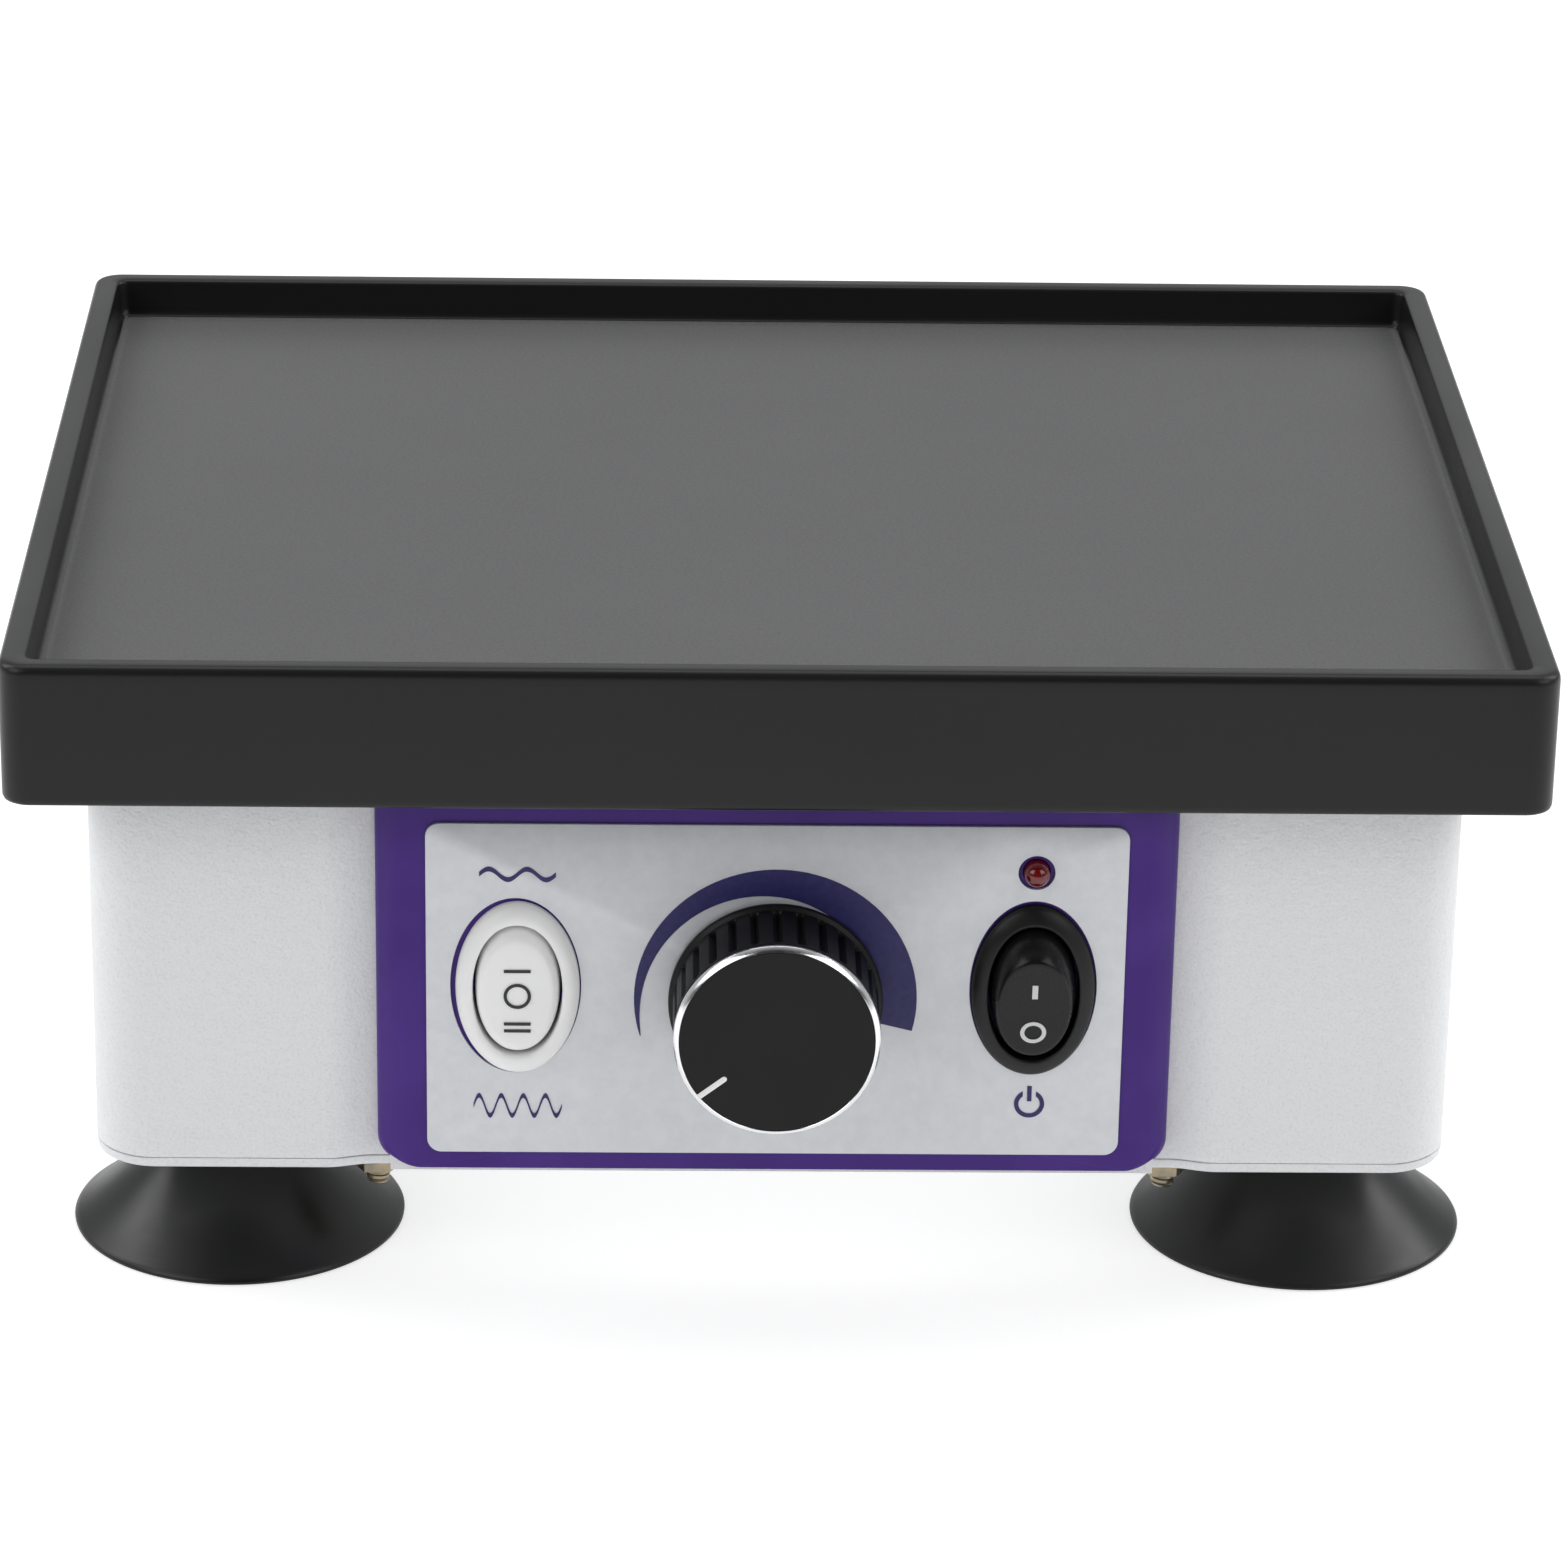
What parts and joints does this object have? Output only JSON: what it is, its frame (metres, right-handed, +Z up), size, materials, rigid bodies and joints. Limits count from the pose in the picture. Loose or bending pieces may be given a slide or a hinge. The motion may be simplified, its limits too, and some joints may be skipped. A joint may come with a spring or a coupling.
{
  "type": "bench vibrator",
  "caption": "Bench vibrator for poured plaster: rubber-covered tray on a sprung platform over a painted case with a speed knob, rocker switches and suction feet.",
  "frame": {"origin": "on the bench, under the middle of the machine's bounding box", "axes": "+Z up; the control panel faces -Y; +X is to the right of someone facing the panel"},
  "size_m": [0.24, 0.198, 0.11],
  "materials": {
    "case_paint": "fine hammertone paint",
    "front_panel": "satin",
    "label_silver": "satin",
    "label_ink": "printed",
    "foot_rubber": "smooth",
    "tray_rubber": "matte",
    "steel": "zinc plated",
    "plate_steel": "plain",
    "spring_steel": "oiled",
    "yellow_zinc": "yellow zinc plated",
    "white_plastic": "satin",
    "black_plastic": "satin",
    "black_gloss": "polished",
    "bright_ring": "polished",
    "black_ink": "printed",
    "white_ink": "printed",
    "lamp_lens": "translucent",
    "brass_contact": "plain",
    "lamination": "varnished",
    "bobbin_plastic": "plain",
    "copper_wire": "enamelled copper",
    "aluminium_block": "plain",
    "board": "solder mask",
    "capacitor_case": "dipped",
    "fuse_glass": "clear",
    "terminal_green": "plain",
    "lead_brown": "insulation",
    "lead_blue": "insulation",
    "lead_green": "insulation",
    "lead_red": "insulation"
  },
  "bodies": {
    "case": {"housing": "case_paint", "base_plate": "case_paint", "fascia": "front_panel", "label_plate": "label_silver", "scale_arc": "label_ink", "panel_symbols": "label_ink", "foot_front_left": "foot_rubber", "foot_front_right": "foot_rubber", "foot_rear_left": "foot_rubber", "foot_rear_right": "foot_rubber", "foot_studs": "steel", "foot_nuts": "steel", "tie_bolts": "yellow_zinc", "tie_nuts": "yellow_zinc", "mode_switch": "white_plastic", "power_switch": "black_plastic", "switch_terminals": "brass_contact", "led": "lamp_lens", "potentiometer": "steel", "pot_nut": "steel", "magnet_core": "lamination", "coil_bobbin": "bobbin_plastic", "coil_winding": "copper_wire", "magnet_frame": "steel", "magnet_bolts": "steel", "frame_screws": "steel", "spring_posts": "steel", "circuit_board": "board", "board_standoffs": "brass_contact", "heat_sink": "aluminium_block", "triac": "black_plastic", "capacitor": "capacitor_case", "fuse_holder": "steel", "fuse": "fuse_glass", "terminal_block": "terminal_green", "inlet_socket": "black_plastic", "inlet_pins": "brass_contact", "inlet_screws": "steel", "live_lead": "lead_brown", "neutral_lead": "lead_blue", "earth_lead": "lead_green", "coil_leads": "lead_red"},
    "platform": {"platform": "plate_steel", "armature": "lamination", "armature_block": "aluminium_block", "armature_screws": "steel", "spring_caps": "steel", "spring_front_left": "spring_steel", "spring_front_right": "spring_steel", "spring_rear_left": "spring_steel", "spring_rear_right": "spring_steel"},
    "tray_cover": {"tray_cover": "tray_rubber"},
    "knob": {"knob": "black_plastic", "knob_ring": "bright_ring", "knob_pointer": "white_plastic", "pot_shaft": "steel"},
    "mode_rocker": {"mode_rocker": "white_plastic", "mode_marks": "black_ink"},
    "power_rocker": {"power_rocker": "black_gloss", "power_marks": "white_ink"}
  },
  "joints": [
    {"name": "platform_slide", "type": "slide", "parent": "case", "child": "platform", "axis": [0, 0, 1], "range_m": [-0.0015, 0], "stiffness_N_per_m": 20000, "springref_m": 0.002, "deforming": ["spring_front_left", "spring_front_right", "spring_rear_left", "spring_rear_right"]},
    {"name": "tray_cover_lift", "type": "slide", "parent": "platform", "child": "tray_cover", "axis": [0, 0, 1], "range_m": [0, 0.04]},
    {"name": "knob_turn", "type": "hinge", "parent": "case", "child": "knob", "pos_m": [0, -0.09, 0.0513], "axis": [0, 1, 0], "range_deg": [0, 270]},
    {"name": "mode_rocker_tilt", "type": "hinge", "parent": "case", "child": "mode_rocker", "pos_m": [-0.0406, -0.081, 0.0531], "axis": [-1, 0, 0], "range_deg": [-12, 12]},
    {"name": "power_rocker_tilt", "type": "hinge", "parent": "case", "child": "power_rocker", "pos_m": [0.0406, -0.081, 0.0531], "axis": [-1, 0, 0], "range_deg": [0, 24]}
  ]
}
